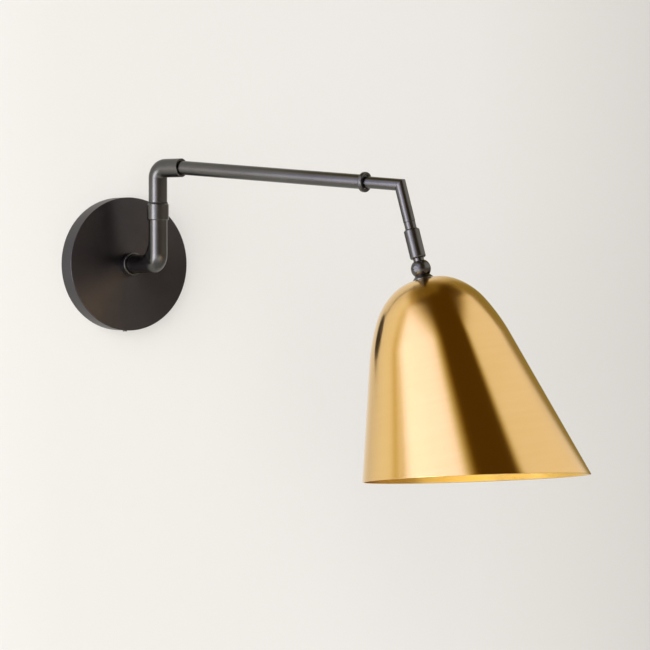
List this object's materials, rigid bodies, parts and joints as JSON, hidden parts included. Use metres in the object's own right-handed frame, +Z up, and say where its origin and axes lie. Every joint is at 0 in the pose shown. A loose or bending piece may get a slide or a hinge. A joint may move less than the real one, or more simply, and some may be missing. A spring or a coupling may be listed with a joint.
{
  "type": "wall sconce",
  "caption": "Swing-arm wall sconce with a round wall plate, a telescopic black arm, a turning ball knuckle and a bell-shaped brass shade cut on a slant.",
  "frame": {"origin": "centre of the wall plate, on the wall", "axes": "+X right seen from the room, -Y out of the wall into the room, +Z up"},
  "size_m": [0.2689, 0.4704, 0.2781],
  "materials": {
    "zinc_steel": "zinc plated",
    "black_metal": "satin black powder coat",
    "brass_fitting": "turned brass",
    "nickel": "nickel plated",
    "nylon": "natural nylon",
    "steel": "bright steel",
    "cable_black": "PVC sheath",
    "core_white": "PVC insulation",
    "core_green": "PVC insulation",
    "connector": "moulded plastic",
    "brass": "satin brushed, lacquered",
    "fibre": "vulcanised fibre",
    "phenolic": "moulded phenolic",
    "glass_white": "frosted white glass",
    "glass_black": "black glass",
    "ceramic": "coated light strips"
  },
  "bodies": {
    "wall_assembly": {"mounting_bracket": "zinc_steel", "backplate": "black_metal", "plate_set_screws": "black_metal", "earth_screw": "brass_fitting", "earth_terminal": "nickel", "stem_nipple": "zinc_steel", "nipple_washer": "zinc_steel", "nipple_nut": "zinc_steel", "stem_base_ring": "black_metal", "lower_elbow": "black_metal", "lower_swivel_plug": "brass_fitting", "friction_washer": "nylon", "swivel_spring_washer": "steel", "swivel_nut": "brass_fitting", "swivel_pivot": "brass_fitting", "swivel_collar": "black_metal", "collar_screws": "black_metal", "stem_cable": "cable_black", "live_core": "cable_black", "neutral_core": "core_white", "earth_core": "core_green", "wire_connectors": "connector"},
    "swing_arm": {"upper_swivel_plug": "brass_fitting", "upper_elbow": "black_metal", "tube_set_screw": "black_metal", "outer_tube": "black_metal", "end_ring": "black_metal", "key_screw": "black_metal", "guide_bush": "nylon", "arm_cable": "cable_black"},
    "slide_arm": {"inner_tube": "black_metal", "tail_stop_ring": "steel", "drop_tube": "black_metal", "drop_spigot": "black_metal", "spigot_clip": "steel", "drop_cable": "cable_black"},
    "swivel_head": {"swivel_sleeve": "black_metal", "sleeve_stop_screw": "black_metal", "sleeve_washer": "steel", "knuckle_tongue": "black_metal", "sleeve_cable": "cable_black"},
    "shade_head": {"knuckle_fork": "black_metal", "knuckle_screws": "black_metal", "shade": "brass", "shade_washer": "fibre", "shade_nut": "zinc_steel", "socket_cap": "black_metal", "lampholder_body": "phenolic", "screw_shell": "brass_fitting", "centre_contact": "brass_fitting", "bulb_glass": "glass_white", "bulb_cap": "nickel", "bulb_insulator": "glass_black", "bulb_contact": "nickel", "bulb_light_source": "ceramic", "shade_cable": "cable_black", "holder_cores": "core_white"}
  },
  "joints": [
    {"name": "arm_swing", "type": "hinge", "parent": "wall_assembly", "child": "swing_arm", "pos_m": [0, -0.06825, 0], "axis": [0, 0, 1], "range_deg": [-100.3, 59.7]},
    {"name": "arm_extend", "type": "slide", "parent": "swing_arm", "child": "slide_arm", "axis": [0.3458, -0.9347, -0.0825], "range_m": [-0.028, 0.09]},
    {"name": "shade_turn", "type": "hinge", "parent": "slide_arm", "child": "swivel_head", "pos_m": [0.08958, -0.31041, 0.0654], "axis": [0.0982, -0.2656, -0.9591], "range_deg": [-150, 150]},
    {"name": "shade_tilt", "type": "hinge", "parent": "swivel_head", "child": "shade_head", "pos_m": [0.09668, -0.32962, -0.00394], "axis": [-0.9379, -0.3469, 0], "range_deg": [-45, 45]}
  ]
}
